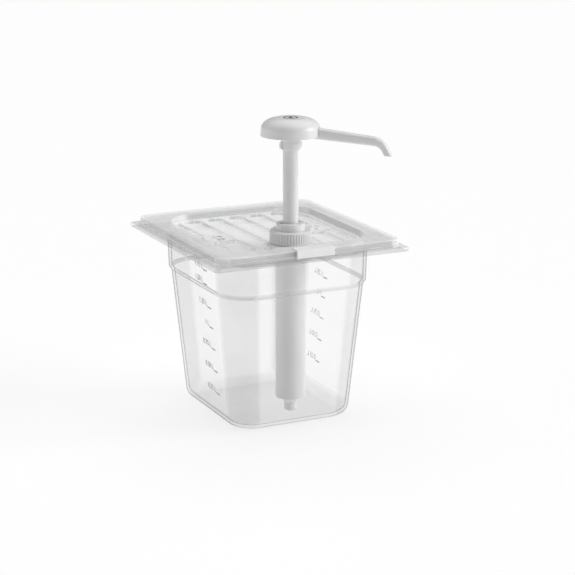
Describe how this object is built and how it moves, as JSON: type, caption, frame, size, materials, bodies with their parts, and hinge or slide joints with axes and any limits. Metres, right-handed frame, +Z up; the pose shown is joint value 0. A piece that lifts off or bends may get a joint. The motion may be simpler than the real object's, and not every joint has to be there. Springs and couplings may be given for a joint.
{
  "type": "condiment pump dispenser",
  "caption": "Translucent rectangular food container with a ribbed recessed lid and a white press-down piston pump with a domed head and a long drooping spout.",
  "frame": {"origin": "middle of the container's base, on the surface that it stands on", "axes": "+Z up, +X along the narrow front edge to the right seen from the front, +Y from the front edge, where the pump is, to the back"},
  "size_m": [0.162, 0.1854, 0.2394],
  "materials": {
    "container_plastic": "translucent natural polypropylene, satin inside, glossy outside",
    "lid_plastic": "translucent natural polypropylene, satin",
    "pump_plastic": "white moulded plastic, soft gloss",
    "stem_plastic": "white moulded plastic, glossy",
    "clip_plastic": "white moulded plastic, matt",
    "barrel_plastic": "white moulded plastic, satin",
    "seal_rubber": "food-grade silicone, matt",
    "spring_steel": "stainless spring wire",
    "valve_steel": "polished stainless ball",
    "badge_plastic": "dark printed insert, satin"
  },
  "bodies": {
    "container": {"container": "container_plastic"},
    "lid": {"lid": "lid_plastic", "id_clip": "clip_plastic", "neck_gasket": "seal_rubber", "neck_fitting": "pump_plastic", "neck_nut": "pump_plastic", "closure_cap": "pump_plastic", "barrel_gasket": "seal_rubber", "barrel": "barrel_plastic", "guide_ring": "pump_plastic", "stem_wiper": "seal_rubber", "ball_cage": "barrel_plastic", "return_spring": "spring_steel"},
    "piston": {"piston": "pump_plastic", "piston_seal": "seal_rubber"},
    "head": {"stem": "stem_plastic", "outlet_seat": "pump_plastic", "outlet_cage": "pump_plastic", "lock_collar": "pump_plastic", "hub_o_ring": "seal_rubber", "spout": "pump_plastic", "dome_cover": "pump_plastic", "dome_badge": "badge_plastic"},
    "inlet_ball": {"inlet_ball": "valve_steel"},
    "outlet_ball": {"outlet_ball": "valve_steel"}
  },
  "joints": [
    {"name": "lid_lift", "type": "slide", "parent": "container", "child": "lid", "axis": [0, 0, 1], "range_m": [0, 0.16]},
    {"name": "plunger_press", "type": "slide", "parent": "lid", "child": "piston", "axis": [0, 0, -1], "range_m": [0, 0.054], "stiffness_N_per_m": 250, "springref_m": -0.03, "deforming": ["return_spring"]},
    {"name": "head_swivel", "type": "hinge", "parent": "piston", "child": "head", "pos_m": [0, -0.0448, 0.13], "axis": [0, 0, 1], "continuous": true},
    {"name": "inlet_ball_lift", "type": "slide", "parent": "lid", "child": "inlet_ball", "axis": [0, 0, 1], "range_m": [0, 0.0025]},
    {"name": "outlet_ball_lift", "type": "slide", "parent": "head", "child": "outlet_ball", "axis": [0, 0, 1], "range_m": [0, 0.0025]}
  ]
}
